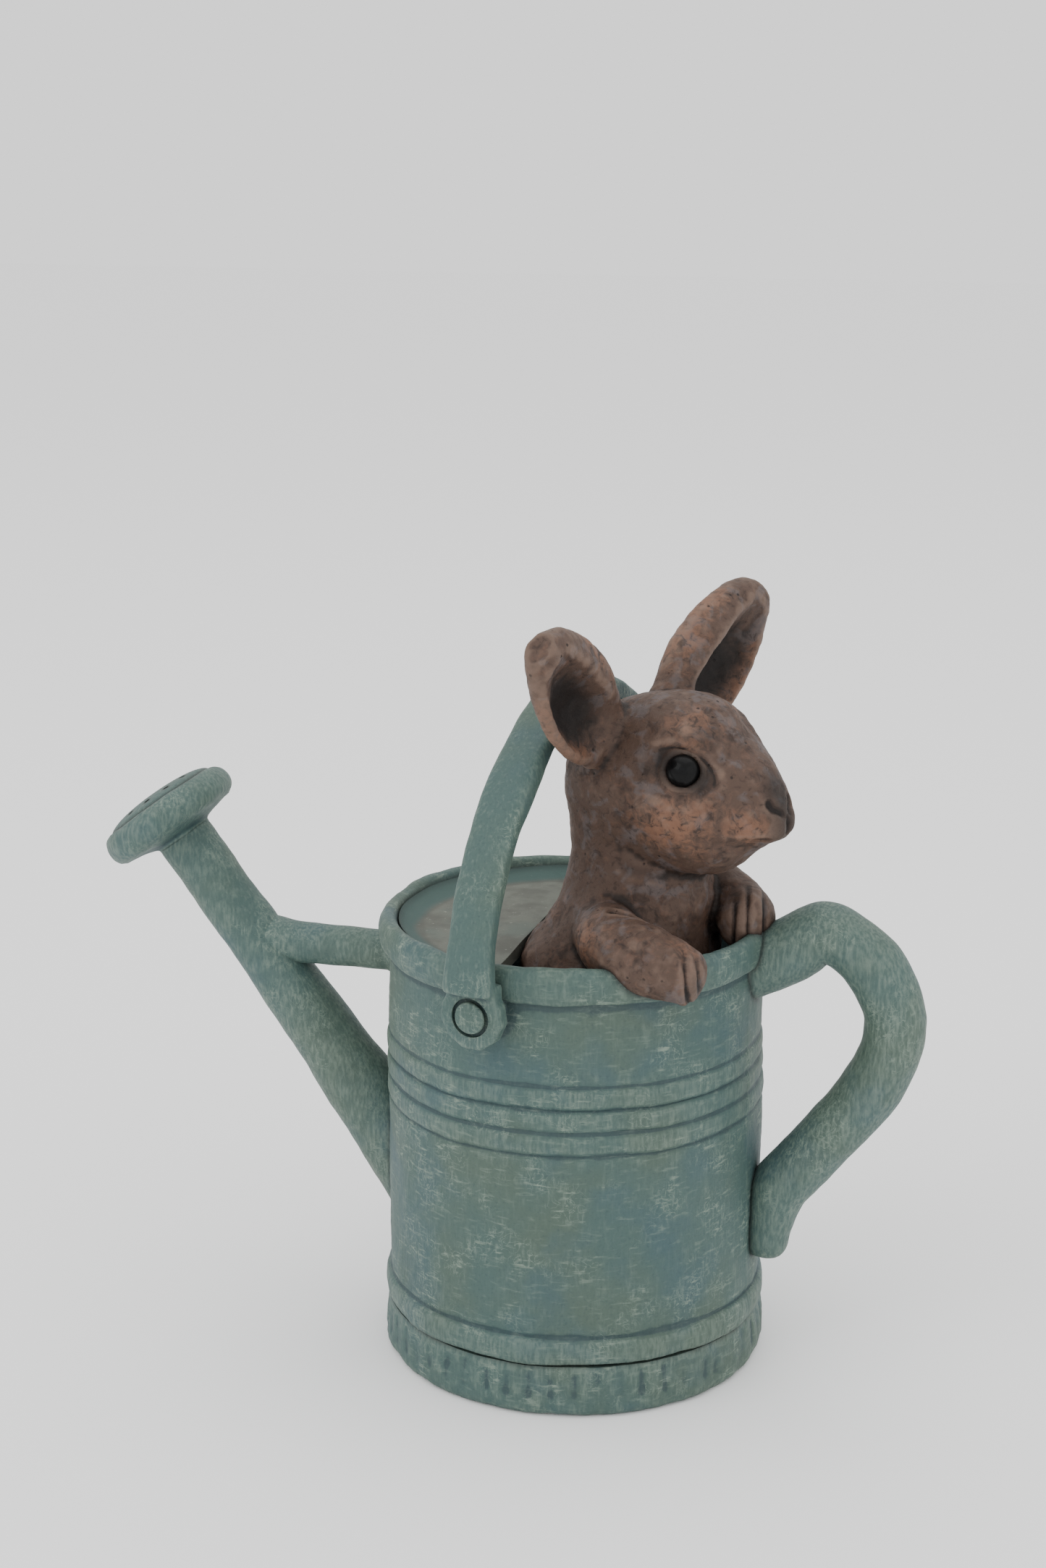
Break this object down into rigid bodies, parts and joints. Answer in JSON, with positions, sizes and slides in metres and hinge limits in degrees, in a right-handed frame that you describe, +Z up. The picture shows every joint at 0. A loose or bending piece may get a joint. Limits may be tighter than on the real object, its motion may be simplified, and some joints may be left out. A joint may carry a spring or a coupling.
{
  "type": "watering can",
  "caption": "Small cast ornament: a ribbed watering can with spout, rose, rear handle and pivoting carrying handle, and a young rabbit looking out over its rim.",
  "frame": {"origin": "on the can's axis, on the flat underside that the ornament stands on", "axes": "+Z up along the can's axis, +X towards the rear handle, -X towards the spout and rose, -Y towards the near rivet"},
  "size_m": [0.1632, 0.0888, 0.1483],
  "materials": {
    "can_paint": "matt teal paint on cast resin, dry-brushed with pale beige-green and washed darker in the creases",
    "hood_paint": "matt grey-beige paint on cast resin",
    "rabbit_paint": "matt grey-brown paint on cast resin, dry-brushed with orange tan",
    "eye_gloss": "glossy black"
  },
  "bodies": {
    "can": {"base_pan": "can_paint", "can_body": "can_paint", "top_hood": "hood_paint", "spout": "can_paint", "spout_brace": "can_paint", "rose_head": "can_paint", "rose_face": "can_paint", "rear_handle": "can_paint", "bail_rivet_near": "can_paint", "bail_rivet_far": "can_paint", "rabbit_torso": "rabbit_paint", "rabbit_head": "rabbit_paint", "rabbit_left_ear": "rabbit_paint", "rabbit_right_ear": "rabbit_paint", "rabbit_left_foreleg": "rabbit_paint", "rabbit_right_foreleg": "rabbit_paint", "rabbit_left_eye": "eye_gloss", "rabbit_right_eye": "eye_gloss"},
    "bail": {"bail_handle": "can_paint"}
  },
  "joints": [
    {"name": "bail_swing", "type": "hinge", "parent": "can", "child": "bail", "pos_m": [0, 0, 0.0785], "axis": [-0.2079, -0.9781, 0], "range_deg": [-3, 82]}
  ]
}
